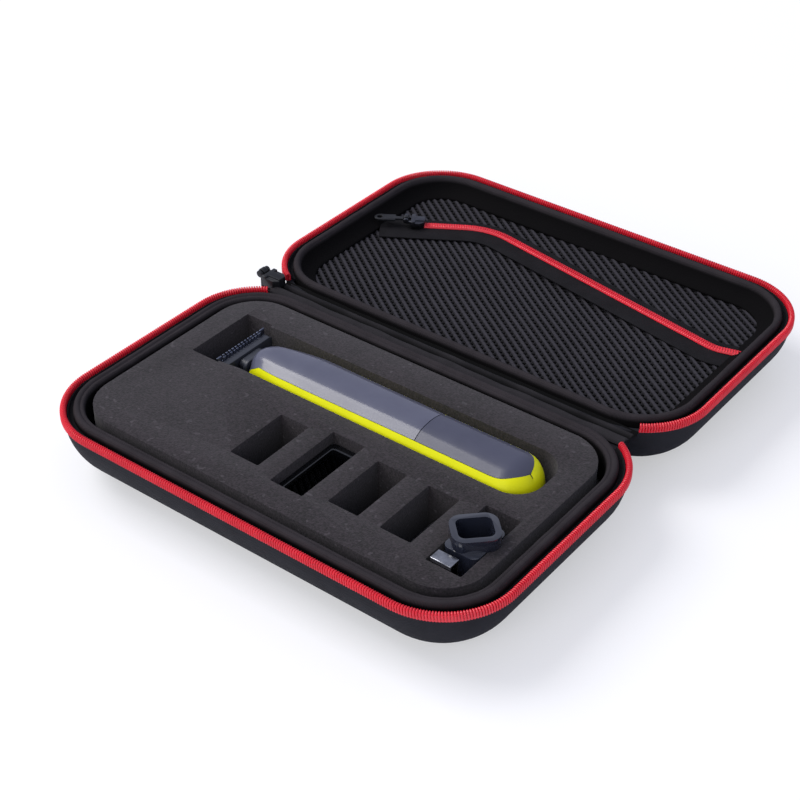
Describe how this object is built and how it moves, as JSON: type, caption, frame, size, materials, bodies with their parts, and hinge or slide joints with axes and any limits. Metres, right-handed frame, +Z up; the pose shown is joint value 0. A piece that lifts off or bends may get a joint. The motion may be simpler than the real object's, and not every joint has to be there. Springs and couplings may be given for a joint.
{
  "type": "electric shaver hard case",
  "caption": "Zipped clamshell hard case lying open, with a cut foam insert holding an electric shaver, combs and guard, and a zipped mesh pocket in the lid.",
  "frame": {"origin": "centre of the base half's flat underside, which rests on the table", "axes": "+X along the case to the right, +Y across it towards the hinge and the open lid, +Z up"},
  "size_m": [0.212, 0.2664, 0.0349],
  "materials": {
    "shell_cloth": "black woven cloth bonded over moulded foam",
    "lining_cloth": "charcoal brushed tricot over padding",
    "zip_tape": "black woven tape",
    "zip_coil": "red moulded coil",
    "foam": "charcoal closed-cell foam, cut edges",
    "pocket_mesh": "black knitted mesh",
    "slider_black": "black enamel",
    "slider_metal": "dark nickel plate",
    "handle_lime": "lime soft-touch moulding",
    "handle_grey": "blue-grey satin moulding",
    "button_grey": "grey satin cap",
    "dark_plastic": "charcoal moulding",
    "steel": "ground blade steel",
    "comb_black": "black glossy moulding",
    "guard_grey": "smoked grey moulding",
    "clip_silver": "bright plated strip"
  },
  "bodies": {
    "root": {"base_shell": "shell_cloth", "base_lining": "lining_cloth", "base_zip_tape": "zip_tape", "base_zip_coil": "zip_coil", "foam_floor_pad": "foam", "foam_insert": "foam", "hinge_strip": "shell_cloth", "zip_end_patches": "shell_cloth", "main_slider": "slider_black"},
    "main_pull": {"main_pull": "slider_black"},
    "lid": {"lid_shell": "shell_cloth", "lid_lining": "lining_cloth", "lid_zip_tape": "zip_tape", "lid_zip_coil": "zip_coil", "lid_floor_pad": "lining_cloth", "pocket_mesh_near": "pocket_mesh", "pocket_mesh_far": "pocket_mesh", "pocket_tape": "zip_tape", "pocket_coil": "zip_coil"},
    "pocket_slider": {"pocket_slider": "slider_metal"},
    "pocket_pull": {"pocket_pull": "slider_black"},
    "shaver": {"handle_front_shell": "handle_lime", "handle_back_shell": "handle_grey", "handle_rear_cover": "handle_grey", "charge_socket": "dark_plastic", "blade_mount": "dark_plastic"},
    "power_button": {"power_button": "button_grey"},
    "drive_pin": {"drive_pin": "steel"},
    "blade_head": {"blade_frame": "dark_plastic", "blade_guard": "steel"},
    "blade_cutter": {"blade_cutter": "steel"},
    "trim_comb": {"trim_comb": "comb_black"},
    "stubble_comb": {"stubble_comb": "comb_black"},
    "skin_guard": {"skin_guard": "guard_grey"},
    "guard_clip": {"guard_clip": "clip_silver"}
  },
  "joints": [
    {"name": "lid_hinge", "type": "hinge", "parent": "root", "child": "lid", "pos_m": [0, 0.0672, 0.03], "axis": [-1, 0, 0], "range_deg": [-180, 0], "deforming": ["hinge_strip"]},
    {"name": "main_pull_swing", "type": "hinge", "parent": "root", "child": "main_pull", "pos_m": [-0.098, 0.0672, 0.0306], "axis": [0, 1, 0], "range_deg": [0, 160]},
    {"name": "pocket_zip_run", "type": "slide", "parent": "lid", "child": "pocket_slider", "axis": [0.848, 0.5299, 0], "range_m": [0, 0.022]},
    {"name": "pocket_pull_swing", "type": "hinge", "parent": "pocket_slider", "child": "pocket_pull", "pos_m": [-0.08182, 0.15026, 0.0255], "axis": [-0.5299, 0.848, 0], "range_deg": [0, 150]},
    {"name": "shaver_lift", "type": "slide", "parent": "root", "child": "shaver", "axis": [0, 0, 1], "range_m": [0, 0.08]},
    {"name": "button_press", "type": "slide", "parent": "shaver", "child": "power_button", "axis": [0, 0, 1], "range_m": [0, 0.0008], "stiffness_N_per_m": 300, "springref_m": -0.001},
    {"name": "pin_swing", "type": "slide", "parent": "shaver", "child": "drive_pin", "axis": [0, 1, 0], "range_m": [-0.001, 0.001]},
    {"name": "head_pull_off", "type": "slide", "parent": "shaver", "child": "blade_head", "axis": [-1, 0, 0], "range_m": [0, 0.009]},
    {"name": "cutter_stroke", "type": "slide", "parent": "blade_head", "child": "blade_cutter", "axis": [0, 1, 0], "range_m": [-0.001, 0.001]},
    {"name": "trim_comb_lift", "type": "slide", "parent": "root", "child": "trim_comb", "axis": [0, 0, 1], "range_m": [0, 0.05]},
    {"name": "stubble_comb_lift", "type": "slide", "parent": "root", "child": "stubble_comb", "axis": [0, 0, 1], "range_m": [0, 0.05]},
    {"name": "skin_guard_lift", "type": "slide", "parent": "root", "child": "skin_guard", "axis": [0, 0, 1], "range_m": [0, 0.05]},
    {"name": "guard_clip_lift", "type": "slide", "parent": "root", "child": "guard_clip", "axis": [0, 0, 1], "range_m": [0, 0.05]}
  ],
  "couplings": [
    {"joint": "cutter_stroke", "follows": "pin_swing", "ratio": 1}
  ]
}
